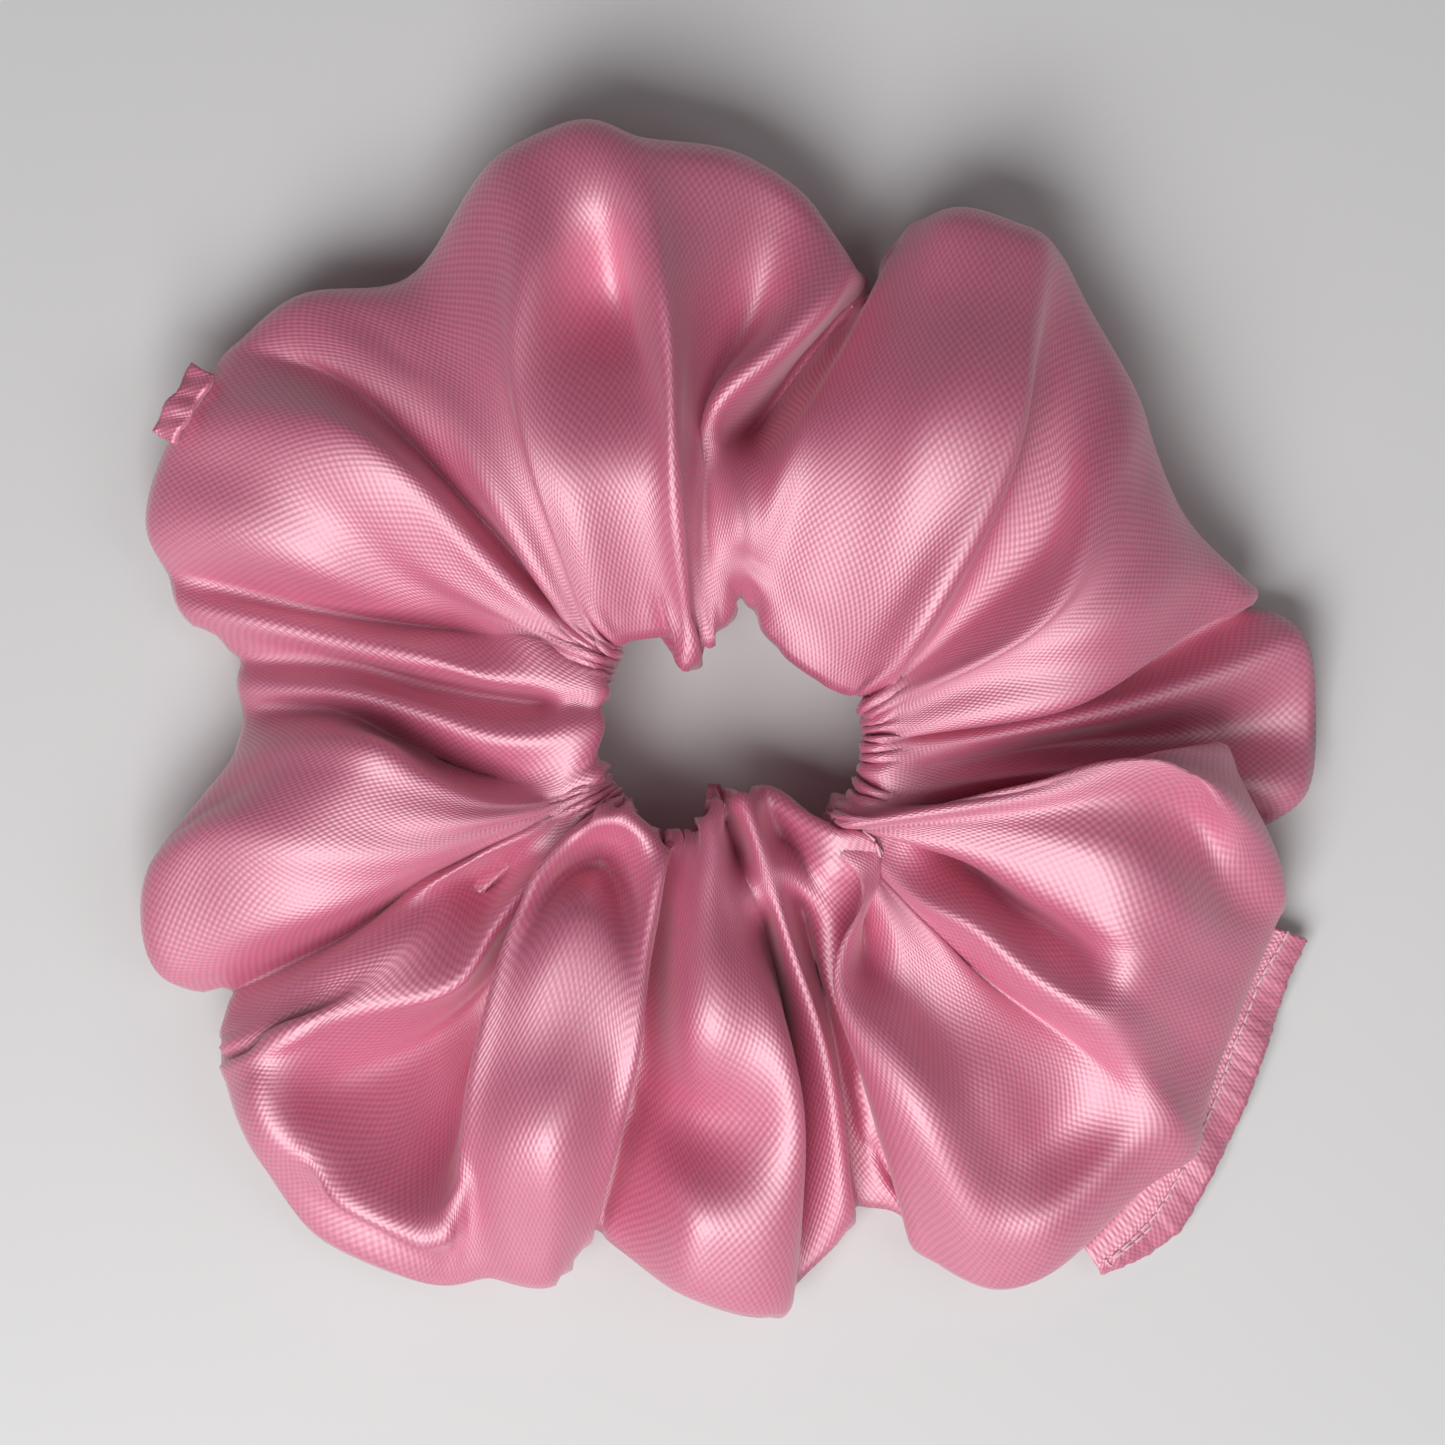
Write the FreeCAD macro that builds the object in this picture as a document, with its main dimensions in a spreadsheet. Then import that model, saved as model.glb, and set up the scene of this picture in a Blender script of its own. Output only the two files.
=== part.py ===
import FreeCAD, Part
import math
import os
import Sketcher

# A gathered satin hair scrunchie: one strip of satin sewn into a ring-shaped tube over a loop of
# flat elastic. The ring lies on z = 0 with its hair opening on the Z axis. Millimetres and degrees.

driving_dimensions = [
    ("outer_radius", 68),           # from the Z axis to the tips of the gathered lobes
    ("ring_height", 32),            # how high the gathers stand
    ("opening_radius", 14.7),       # hair opening of the relaxed ring
    ("opening_low", 7),             # height at which the straight part of the opening starts ...
    ("opening_high", 17),           # ... and ends
    ("crown_radius", 40),           # from the Z axis to the highest line of the ring
    ("edge_height", 8),             # height of the outer edge, where the strip's long seam runs
    ("rest_outer", 52),             # flat part of the underside
    ("rest_inner", 28),
    ("cloth_bulk", 2),              # thickness that the gathered layers take up
    ("allowance_width", 6),         # seam allowance turned into the tube
    ("allowance_thick", 1),         # its two layers of satin with their turned edges
    ("closing_radius", 72),         # outer edge of the flat topstitched closing
    ("closing_middle", -38),        # direction of its middle, from the X axis
    ("closing_span", 35),           # angle that it covers
    ("closing_stitch_radius", 68.7),
    ("cross_seam_angle", -47),      # where the two ends of the strip are joined
    ("cross_seam_offset", 0.8),     # angle from the joint to the thread on each side of it
    ("thread_thick", 0.3),
    ("thread_gap", 0.05),           # room between a thread and the face that it lies on
    ("elastic_radius", 18.2),       # inner face of the flat elastic
    ("elastic_thick", 1),
    ("elastic_width", 6),
    ("elastic_height", 12),         # height of the middle of the elastic
    ("elastic_overlap", 40),        # angle over which its two ends lie on each other
    ("join_row_length", 4.6),       # one row of stitches across the elastic
    ("join_row_count", 5),
    ("join_rows_span", 30),         # angle between the first row and the last
]

doc = FreeCAD.newDocument("Scrunchie")
sheet = doc.addObject("Spreadsheet::Sheet", "sizes")
for row, (alias, value) in enumerate(driving_dimensions, start=1):
    sheet.set("A%d" % row, alias)
    sheet.set("B%d" % row, str(value))
    sheet.setAlias("B%d" % row, alias)
doc.recompute()


def size(alias):
    """The value that one cell of the sheet holds."""
    return float(sheet.get(alias))


def new_body(label):
    body = doc.addObject("PartDesign::Body", label)
    body.Label = label
    return body


def origin_feature(body, role):
    """One of a body's own origin planes or axes."""
    return next(part for part in body.Origin.OriginFeatures if part.Role == role)


def new_sketch(body, name, plane="XZ_Plane", turn=None):
    """A sketch on one of the body's planes, an upright one turned about the Z axis if asked."""
    sketch = body.newObject("Sketcher::SketchObject", name)
    sketch.AttachmentSupport = [(origin_feature(body, plane), "")]
    sketch.MapMode = "FlatFace"
    if turn:
        upright = FreeCAD.Vector(0, 1, 0)
        sketch.AttachmentOffset = FreeCAD.Placement(
            FreeCAD.Vector(), FreeCAD.Rotation(upright, 1)
        )
        sketch.setExpression("AttachmentOffset.Rotation.Angle", turn)
    return sketch


def hold_point(sketch, name, edge, end, across=None, up=None):
    """Keep one end of an edge at a distance across and up from the sketch's origin."""
    point = sketch.getPoint(edge, end)
    for kind, value, expression in (("DistanceX", point.x, across), ("DistanceY", point.y, up)):
        if expression:
            index = sketch.addConstraint(Sketcher.Constraint(kind, -1, 1, edge, end, value))
            label = name + kind[-1]
            sketch.renameConstraint(index, label)
            sketch.setExpression("Constraints." + label, expression)


def line(start, end):
    return Part.LineSegment(FreeCAD.Vector(*start, 0), FreeCAD.Vector(*end, 0))


def level_arc(level, other, level_first):
    """The arc that runs level at one end and ends at another point."""
    rise = level[1] - other[1]
    radius = ((level[0] - other[0]) ** 2 + rise**2) / (2 * rise)
    centre = FreeCAD.Vector(level[0], level[1] - radius, 0)
    ends = (level, other) if level_first else (other, level)
    angles = [math.atan2(y - centre.y, x - centre.x) for x, y in ends]
    circle = Part.Circle(centre, FreeCAD.Vector(0, 0, 1), abs(radius))
    return Part.ArcOfCircle(circle, *angles)


def section_sketch(body, name, inset=(), turn=None):
    """The tube's cross-section: straight at the opening, domed above and flat below.

    inset names the cells whose sum the whole outline is moved in by.
    """
    sketch = new_sketch(body, name, turn=turn)
    gap = sum(size(alias) for alias in inset)
    less = "".join(" - sizes." + alias for alias in inset)
    more = less.replace("-", "+")
    opening_low = (size("opening_radius") + gap, size("opening_low"))
    opening_high = (size("opening_radius") + gap, size("opening_high"))
    crown = (size("crown_radius"), size("ring_height") - gap)
    tip = (size("outer_radius") - gap, size("edge_height"))
    rest_outer = (size("rest_outer"), gap)
    rest_inner = (size("rest_inner"), gap)
    outline = [
        line(opening_low, opening_high),
        level_arc(crown, opening_high, True),
        level_arc(crown, tip, False),
        level_arc(rest_outer, tip, True),
        line(rest_outer, rest_inner),
        level_arc(rest_inner, opening_low, False),
    ]
    sketch.addGeometry(outline, False)
    corners = [(0, 2, 1, 2), (1, 1, 2, 2), (2, 1, 3, 2), (3, 1, 4, 1), (4, 2, 5, 2), (5, 1, 0, 1)]
    for corner in corners:
        sketch.addConstraint(Sketcher.Constraint("Coincident", *corner))
    for arc, level_end in ((1, 1), (2, 2), (3, 1), (5, 2)):
        sketch.addConstraint(Sketcher.Constraint("Vertical", arc, 3, arc, level_end))
    sketch.addConstraint(Sketcher.Constraint("Vertical", 0))
    sketch.addConstraint(Sketcher.Constraint("Horizontal", 4))
    hold_point(sketch, "openingLow", 0, 1, "sizes.opening_radius" + more, "sizes.opening_low")
    hold_point(sketch, "openingHigh", 0, 2, up="sizes.opening_high")
    hold_point(sketch, "crown", 1, 1, "sizes.crown_radius", "sizes.ring_height" + less)
    hold_point(sketch, "tip", 2, 1, "sizes.outer_radius" + less, "sizes.edge_height")
    hold_point(sketch, "restInner", 4, 2, "sizes.rest_inner")
    hold_point(sketch, "restOuter", 3, 1, "sizes.rest_outer", more.lstrip(" +"))
    if not inset:
        sketch.addConstraint(Sketcher.Constraint("PointOnObject", 3, 1, -1))
    return sketch


def rectangle_sketch(body, name, across, up, turn=None):
    """A rectangle beside the Z axis, between two expressions across and two up."""
    sketch = new_sketch(body, name, turn=turn)
    corners = [(10, 1), (20, 1), (20, 5), (10, 5)]
    for side in range(4):
        sketch.addGeometry(line(corners[side], corners[(side + 1) % 4]), False)
        if side:
            sketch.addConstraint(Sketcher.Constraint("Coincident", side - 1, 2, side, 1))
    sketch.addConstraint(Sketcher.Constraint("Coincident", 3, 2, 0, 1))
    for side in range(4):
        direction = "Vertical" if side % 2 else "Horizontal"
        sketch.addConstraint(Sketcher.Constraint(direction, side))
    hold_point(sketch, "lower", 0, 1, across[0], up[0])
    hold_point(sketch, "upper", 1, 2, across[1], up[1])
    return sketch


def add_feature(body, kind, sketch, **expressions):
    """A PartDesign feature made from a sketch, turned about its upright axis or padded both ways."""
    feature = body.newObject("PartDesign::" + kind, sketch.Name + "_" + kind.lower())
    feature.Profile = sketch
    feature.Midplane = True
    if kind in ("Revolution", "Groove"):
        feature.ReferenceAxis = (sketch, ["V_Axis"])
    for name, expression in expressions.items():
        feature.setExpression(name, expression)
    doc.recompute()
    return feature


def cut_feature(body, kind, sketch, **expressions):
    """The same for a Groove or a Pocket, which has to take something away."""
    volume = body.Shape.Volume
    add_feature(body, kind, sketch, **expressions)
    if body.Shape.Volume > 0.999 * volume:
        raise RuntimeError("%s took nothing away from %s" % (kind, body.Label))


def make_satin_casing():
    """The one strip of satin: gathered tube, turned-in seam allowance and flat closing."""
    body = new_body("satin_casing")
    add_feature(body, "Revolution", section_sketch(body, "outside"), Angle="360 deg")
    inside = section_sketch(body, "inside", ["cloth_bulk"])
    cut_feature(body, "Groove", inside, Angle="360 deg")

    half = "sizes.allowance_thick / 2"
    up = ("sizes.edge_height - " + half, "sizes.edge_height + " + half)
    in_cloth = "sizes.outer_radius - sizes.cloth_bulk / 2"
    allowance_end = "sizes.outer_radius - sizes.cloth_bulk - sizes.allowance_width"
    allowance = rectangle_sketch(
        body, "allowance", (allowance_end, in_cloth), up, turn="sizes.closing_middle + 180"
    )
    add_feature(body, "Revolution", allowance, Angle="360 - sizes.closing_span")
    closing = rectangle_sketch(
        body, "closing", (in_cloth, "sizes.closing_radius"), up, turn="sizes.closing_middle"
    )
    add_feature(body, "Revolution", closing, Angle="sizes.closing_span")


def make_elastic_loop():
    """A length of flat elastic whose ends lie on each other."""
    body = new_body("elastic_loop")
    half = "sizes.elastic_width / 2"
    up = ("sizes.elastic_height - " + half, "sizes.elastic_height + " + half)
    outer_face = "sizes.elastic_radius + sizes.elastic_thick"
    band = rectangle_sketch(body, "band", ("sizes.elastic_radius", outer_face), up)
    add_feature(body, "Revolution", band, Angle="360 deg")
    overlap_face = outer_face + " + sizes.elastic_thick"
    overlap = rectangle_sketch(body, "overlap", (outer_face, overlap_face), up)
    add_feature(body, "Revolution", overlap, Angle="sizes.elastic_overlap")


def make_seam_arc(label, radius, side, middle, span):
    """A thread along a stretch of the outer edge, on the upper (1) or the lower (-1) face."""
    thread = doc.addObject("Part::Torus", label)
    thread.Label = label
    thread.setExpression("Radius1", radius)
    thread.setExpression("Radius2", "sizes.thread_thick / 2")
    thread.setExpression("Angle3", span)
    thread.Placement.Rotation = FreeCAD.Rotation(FreeCAD.Vector(0, 0, 1), 1)
    thread.setExpression("Placement.Rotation.Angle", "%s - (%s) / 2" % (middle, span))
    lift = "(sizes.allowance_thick / 2 + sizes.thread_thick / 2 + sizes.thread_gap)"
    thread.setExpression("Placement.Base.z", "sizes.edge_height + %d * %s" % (side, lift))


def make_cross_seam_thread(label, side):
    """A thread round the inside of the tube, on one side of the joint between the strip's ends."""
    body = new_body(label)
    turn = "sizes.cross_seam_angle + %d * sizes.cross_seam_offset" % side
    near_cloth = ["cloth_bulk", "thread_gap"]
    outline = section_sketch(body, label + "_outline", near_cloth, turn)
    add_feature(body, "Pad", outline, Length="sizes.thread_thick")
    middle = section_sketch(body, label + "_middle", near_cloth + ["thread_thick"], turn)
    cut_feature(body, "Pocket", middle, Length="3 * sizes.thread_thick")


def make_join_thread(label, face, side):
    """Rows of stitches across the overlapped ends, outside (1) or inside (-1) the elastic."""
    body = new_body(label)
    body.AllowCompound = True
    sketch = new_sketch(body, label + "_row", "XY_Plane")
    circle = Part.Circle(FreeCAD.Vector(size("elastic_radius"), 0, 0), FreeCAD.Vector(0, 0, 1), 0.1)
    sketch.addGeometry(circle, False)
    hold_point(
        sketch, "row", 0, 3,
        "%s + %d * (sizes.thread_thick / 2 + sizes.thread_gap)" % (face, side),
    )
    sketch.addConstraint(Sketcher.Constraint("PointOnObject", 0, 3, -1))
    radius = sketch.addConstraint(Sketcher.Constraint("Radius", 0, 0.1))
    sketch.setExpression("Constraints[%d]" % radius, "sizes.thread_thick / 2")
    sketch.setExpression("AttachmentOffset.Base.z", "sizes.elastic_height")
    row = add_feature(body, "Pad", sketch, Length="sizes.join_row_length")
    rows = body.newObject("PartDesign::PolarPattern", label + "_rows")
    rows.Originals = [row]
    rows.Axis = (origin_feature(body, "Z_Axis"), [""])
    rows.setExpression("Angle", "sizes.join_rows_span")
    rows.setExpression("Occurrences", "sizes.join_row_count")
    body.Tip = rows
    body.Placement.Rotation = FreeCAD.Rotation(FreeCAD.Vector(0, 0, 1), -1)
    body.setExpression("Placement.Rotation.Angle", "-sizes.join_rows_span / 2")


make_satin_casing()
make_elastic_loop()
for thread, side in (("needle_thread", 1), ("bobbin_thread", -1)):
    make_seam_arc(
        "long_seam_" + thread,
        "sizes.outer_radius - sizes.cloth_bulk - sizes.allowance_width / 2",
        side, "sizes.closing_middle + 180", "360 - sizes.closing_span",
    )
    make_seam_arc(
        "closing_seam_" + thread, "sizes.closing_stitch_radius",
        side, "sizes.closing_middle", "sizes.closing_span",
    )
    make_cross_seam_thread("cross_seam_" + thread, side)
make_join_thread(
    "elastic_join_needle_thread", "sizes.elastic_radius + 2 * sizes.elastic_thick", 1
)
make_join_thread("elastic_join_bobbin_thread", "sizes.elastic_radius", -1)
doc.recompute()

for item in doc.Objects:
    if "Invalid" in item.State or "Error" in item.State:
        raise RuntimeError("%s failed: %s" % (item.Label, item.State))

os.makedirs("parts", exist_ok=True)
pieces = [item for item in doc.Objects if item.TypeId in ("PartDesign::Body", "Part::Torus")]
for piece in pieces:
    if piece.Shape.isNull() or not piece.Shape.isValid():
        raise RuntimeError("%s has no valid shape" % piece.Label)
    piece.Shape.exportStep("parts/%s.step" % piece.Label)
    box = piece.Shape.BoundBox
    print(
        "%-28s %d solid(s) %10.2f mm3  x %.2f %.2f  y %.2f %.2f  z %.2f %.2f"
        % (piece.Label, len(piece.Shape.Solids), piece.Shape.Volume,
           box.XMin, box.XMax, box.YMin, box.YMax, box.ZMin, box.ZMax)
    )
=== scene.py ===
import math
import bpy
import numpy as np
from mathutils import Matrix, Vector


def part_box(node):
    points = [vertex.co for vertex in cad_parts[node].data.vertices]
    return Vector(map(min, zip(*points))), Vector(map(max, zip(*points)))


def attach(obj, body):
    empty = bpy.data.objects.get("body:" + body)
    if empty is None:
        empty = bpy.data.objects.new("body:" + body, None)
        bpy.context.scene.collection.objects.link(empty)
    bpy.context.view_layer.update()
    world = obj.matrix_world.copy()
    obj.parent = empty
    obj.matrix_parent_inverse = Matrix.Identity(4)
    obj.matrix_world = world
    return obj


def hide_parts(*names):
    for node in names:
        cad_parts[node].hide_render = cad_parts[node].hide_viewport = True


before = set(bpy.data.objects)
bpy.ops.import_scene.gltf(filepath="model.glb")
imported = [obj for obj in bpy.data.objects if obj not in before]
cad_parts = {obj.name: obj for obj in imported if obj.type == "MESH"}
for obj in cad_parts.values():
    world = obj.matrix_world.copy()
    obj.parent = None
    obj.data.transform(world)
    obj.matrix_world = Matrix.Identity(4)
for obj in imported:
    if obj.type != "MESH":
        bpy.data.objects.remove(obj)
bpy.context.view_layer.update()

mm = 0.001

strip = {
    "width": 115 * mm,        # round the tube, between the two sides of the long seam
    "columns": 280,           # mesh columns along the strip
    "rows": 42,               # and rows round the tube; half of them lie on top
    "thickness": 0.25 * mm,
    "liftOffTable": 0.8 * mm,
    "clothInGap": 80,         # percentile of the gaps between two folds, row by row, that is their cloth
}

# One line for each ridge and valley of the gathers, in order round the ring, from where the
# fold leaves the hair opening, over the top, to where it ends at the outer edge. Each point is
# an angle in degrees, a distance from the middle and a height in millimetres.
foldLines = [
    ("valley under low right", (-25, 20, 10), (-14, 36, 8), (-10, 62, 3)),
    ("lower right roll", (-22, 20, 14), (-7, 42, 12), (-7, 67, 6)),
    ("right pleat", (-15, 19, 11), (-3, 40, 8), (-1, 68, 4)),
    ("upper right roll", (-9, 18, 15), (2, 42, 14), (9, 67, 8)),
    ("valley under right", (-6, 18, 9), (6, 40, 8), (13, 62, 5)),
    ("right lower edge", (-4, 18, 16), (4, 39, 21), (12, 55, 14), (14, 63, 8)),
    ("right body", (4, 18, 17), (18, 43, 25), (26, 57, 13)),
    ("right soft ridge", (9, 17, 15), (20, 38, 26), (34, 52, 22), (39, 60, 12)),
    ("right flank", (11, 17, 14), (30, 40, 21), (44, 53, 19), (49, 63, 11)),
    ("beside the right crease", (12, 17.5, 14), (29, 28, 21), (42, 42, 23), (50, 54, 20), (55, 66, 12)),
    ("top right crease", (13, 17, 15), (30, 27, 25), (44, 45, 28), (53, 58, 22), (58, 67, 14)),
    ("top right body", (24, 12, 13), (45, 25, 23), (59, 40, 27), (64, 54, 20), (66, 65, 14)),
    ("top right flank", (66, 12, 14), (74, 30, 22), (73, 43, 18), (71, 59, 10)),
    ("pocket rim", (80, 14, 12), (82, 22, 19), (80, 32, 20), (75, 43, 12), (72, 52, 6)),
    ("top pocket", (86, 15, 11), (87, 22, 20), (88, 30, 18), (84, 35, 7), (77, 46, 5), (73, 54, 4)),
    ("top rolled edge", (101, 11, 14), (97, 22, 17), (95, 32, 18), (92, 37, 21), (83, 43, 22), (77, 50, 20),
     (76, 55, 14)),
    ("top right hollow", (113, 10, 13), (101, 24, 19), (94, 38, 17), (88, 46, 14), (85, 55, 15),
     (83, 62, 12)),
    ("crease flank", (118, 9.5, 13), (103, 27, 23), (97, 42, 22), (92, 56, 19), (90, 66, 14)),
    ("top crease", (122, 9, 13), (104, 28, 27), (99.5, 44, 28), (99, 56, 24), (99, 68, 17)),
    ("beside the top crease", (126, 13, 14), (112, 29, 25), (105, 40, 22), (104, 50, 16), (103, 62, 21),
     (103, 71, 15)),
    ("top left ridge", (143, 18, 14), (126, 34, 26), (118, 48, 24), (112, 60, 22), (112, 71, 14)),
    ("top left hollow", (147, 20, 14), (131, 36, 23), (127, 51, 20), (127, 64, 11)),
    ("top left flank", (148, 21.5, 14), (138, 36, 21), (134, 52, 19), (136, 71, 11)),
    ("valley beside left", (149, 22, 12), (143.5, 29, 14), (140, 41, 15), (138.5, 52, 16), (139, 62, 14),
     (144, 73, 8)),
    ("left upper ridge", (151, 22, 14), (145.5, 35, 20), (142, 48, 24), (143.5, 60, 21), (150, 73, 10)),
    ("left body", (154, 23, 14), (152, 38, 17), (151, 52, 20), (153, 63, 17), (156, 73, 8)),
    ("left lower ridge", (155, 24, 14), (157, 38, 14), (159, 52, 17), (160, 64, 14), (161, 72, 7)),
    ("left deep valley", (157, 25, 10), (161, 33, 9), (164, 44, 8), (165, 55, 8), (165, 68, 5)),
    ("left roll", (163, 16, 17), (168, 28, 17), (167, 36, 16), (167.5, 47, 12), (167.5, 59, 9),
     (168, 66, 5)),
    ("valley under left roll", (172, 16, 14), (174, 24, 12), (172.5, 37, 10), (171.5, 45, 9), (172, 58, 4)),
    ("left second roll", (182, 16, 18), (182, 27, 18), (177, 36, 16), (174.5, 46, 13), (175, 58, 5)),
    ("left pleat", (199, 21, 9), (190, 30, 10), (182, 39, 9), (178, 46, 10), (179, 57, 4)),
    ("low left ridge", (203, 22, 15), (197, 29, 19), (188, 36, 21), (182, 43, 21), (184, 58, 9)),
    ("low left body", (205, 23, 15), (201, 38, 20), (197, 52, 20), (194, 62, 16), (196, 71, 8)),
    ("low left lower body", (206, 24, 14), (205, 40, 18), (204, 52, 18), (203, 64, 13), (203, 73, 6)),
    ("valley under low left", (207, 24, 10), (206.5, 32, 11), (205.5, 38, 12), (207.5, 44, 11),
     (208.5, 51, 10),
     (208, 66, 4)),
    ("small fold", (209, 24, 15), (208, 32, 17), (208.5, 41, 16), (211, 52, 17), (211, 62, 13),
     (210, 68, 7)),
    ("small pocket", (213, 25, 10), (211, 33, 9), (210.5, 39, 14), (213, 47, 19), (213, 60, 16),
     (211, 69, 9)),
    ("bottom left ridge", (216, 26, 17), (220, 36, 19), (223, 44, 20), (217, 54, 20), (214.5, 62, 19),
     (213.5, 68, 15), (213, 70.5, 7)),
    ("bottom left hollow", (219, 27, 13), (225, 40, 9), (224, 52, 8.5), (221.5, 62, 11), (221, 69.5, 17),
     (221, 72.8, 9)),
    ("bottom hollow floor", (220, 27, 12), (229, 42, 6), (231, 52, 7), (232, 61, 11), (231, 71, 17.5),
     (231, 70.5, 10), (231, 77, 5)),
    ("valley under bottom", (218, 26, 12), (229, 40, 7), (234, 51, 7), (237.5, 59, 9.5), (239, 68.5, 17.5),
     (239.5, 69, 10), (240, 75, 4.5)),
    ("bottom left edge", (214, 25, 20), (222, 34, 23), (229, 44, 23), (235, 54, 21), (241, 62, 17),
     (246, 70, 9)),
    ("bottom crest", (218, 16, 24), (226, 22.3, 11), (233, 26.5, 23.5), (242, 40, 25), (246, 51, 27),
     (250, 61, 19), (252, 68, 9)),
    ("bottom right edge", (243, 17, 22), (249, 28, 24), (254, 39, 24), (255, 52, 18), (254, 62, 8)),
    ("valley beside middle", (241, 16, 9), (253, 40, 8), (255, 61, 4)),
    ("middle body", (251, 14, 18), (262, 33, 24), (265, 45, 13), (266, 56, 19), (265, 66, 10)),
    ("middle right edge", (258, 10, 19), (270, 22, 21), (279, 36, 23), (279, 50, 18), (274, 69, 8)),
    ("valley under middle", (259, 9, 11), (280, 36, 8), (276, 66, 4)),
    ("narrow roll", (280, 9, 18), (285, 25, 18), (286, 40, 15), (283, 60, 6)),
    ("valley by narrow roll", (298, 10, 12), (288, 38, 7), (284, 58, 3)),
    ("flat strip", (311, 16, 17), (292, 30, 11), (291, 42, 9), (289, 60, 3)),
    ("joined ends", (318, 21, 12), (294, 34, 6), (290.5, 63, 3)),
    ("low right left edge", (309, 24, 18), (292, 31, 19), (290, 45, 18), (290, 58, 12), (290, 66, 5)),
    ("low right cup", (311, 22, 15), (300, 30, 12), (296, 37, 20), (296, 48, 22), (296, 60, 17),
     (295, 68, 11),
     (295, 72, 5)),
    ("low right lower body", (312, 24, 13), (304, 38, 16), (303, 50, 18), (303, 60, 13), (302, 68, 14),
     (301, 73, 5)),
    ("low right floor", (313, 27, 12), (311, 42, 15), (311, 52, 14), (310, 61, 11), (310, 67.5, 13),
     (309, 71.5, 4)),
    ("low right crease", (314, 29, 12), (315, 41, 13), (318, 54, 12), (318, 64, 12.5), (318, 70.5, 10),
     (317, 73, 4)),
    ("low right ridge", (317, 28, 18), (320, 35, 21), (320, 44, 21), (321, 54, 20), (321, 64, 12),
     (321, 70.6, 4)),
    ("low right pocket", (328, 24, 12), (330, 30, 9), (328, 38, 11), (328, 46, 14), (327, 53, 19),
     (328, 61, 13),
     (329, 68.2, 4)),
    ("low right pocket edge", (323, 20, 18), (331, 31, 20), (332, 42, 21), (332, 51, 21), (334, 60, 14),
     (335, 67.2, 4)),
    ("low right upper body", (322, 19, 18), (338, 32, 22), (341, 44, 24), (340, 53, 20), (338, 60, 13),
     (338, 67.3, 4)),
    ("low right dent", (322, 18.5, 18), (342, 33, 22), (348, 45, 22), (347, 54, 16), (342, 60, 12),
     (340, 67.4, 4)),
    ("low right corner", (322, 18, 19), (346, 35, 23), (353, 46, 24), (352, 53, 22), (347, 60, 16),
     (342, 67.5, 5)),
    ("low right upper edge", (322, 18, 18), (343, 28, 22), (353, 41, 24), (357, 49, 22), (358, 56, 12)),
]

# these folds are pressed sharp instead of rolled
creases = {
    "top crease", "top right crease", "low right crease", "low right pocket edge", "bottom left edge",
    "bottom right edge", "bottom left ridge", "right lower edge", "low right upper edge", "low left ridge",
    "valley under low left", "valley beside left", "left deep valley",
}

lowElastic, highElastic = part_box("elastic_loop")
elasticTop = highElastic[2]
elasticMiddle = (lowElastic[2] + highElastic[2]) / 2
elasticOuter = highElastic[1]          # the overlapped ends reach further, but only along X
underside = {
    "wallRadius": 16 * mm,             # where the cloth passes inside the elastic
    "wallGap": 1 * mm,                 # a fold further in than that stands this far off its own wall
    "roomAbove": 1.5 * mm,             # over the elastic
    "roomFrom": 15,                    # in mm; a fold that starts further out starts over the elastic
    "clampRadii": (15.5, 16.5, 20.9, 22.3),  # in mm; the room is full between the middle two
    "radius": 30 * mm,                 # where the underside meets the table
    "innerRadius": 19.5 * mm,
    "innerHeight": 3.5 * mm,
    "height": 1.2 * mm,
    "angleShares": (0.3, 0.35, 0.35),  # of the fold's inner, middle and outer angle
    "halfway": (0.55, 14 * mm),        # share of the outer radius, and what is added to it
}
pleats = {
    "depth": 1.6 * mm,                 # each side of the middle
    "columns": 4,                      # mesh columns in one pleat
    # share of the depth by the share of the way round the tube, from inside the elastic, over
    # the top, and back underneath
    "deep": ((0, 0.2), (0.05, 0), (0.6, 0), (0.72, 1.1), (0.88, 1.1), (0.94, 0.5), (1, 0.2)),
}
softCreases = {
    "height": 0.32 * mm,
    # how many round the ring, share of the height, how far they wander, and how often
    "waves": ((26, 1, 1.6, 1), (41, 0.7, 2.2, 2), (67, 0.35, 2.8, 1)),
    "onTop": ((0.04, 0), (0.14, 1), (0.44, 1), (0.52, 0)),
}


def onRing(angle, radius, height):
    turn = math.radians(angle)
    return (radius * math.cos(turn), radius * math.sin(turn), height)


def hermite(share, start, end, startSlope, endSlope):
    s2, s3 = share**2, share**3
    return (
        (2 * s3 - 3 * s2 + 1) * start
        + (s3 - 2 * s2 + share) * startSlope
        + (3 * s2 - 2 * s3) * end
        + (s3 - s2) * endSlope
    )


def unit(vectors):
    return vectors / np.maximum(np.linalg.norm(vectors, axis=2, keepdims=True), 1e-12)


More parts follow.
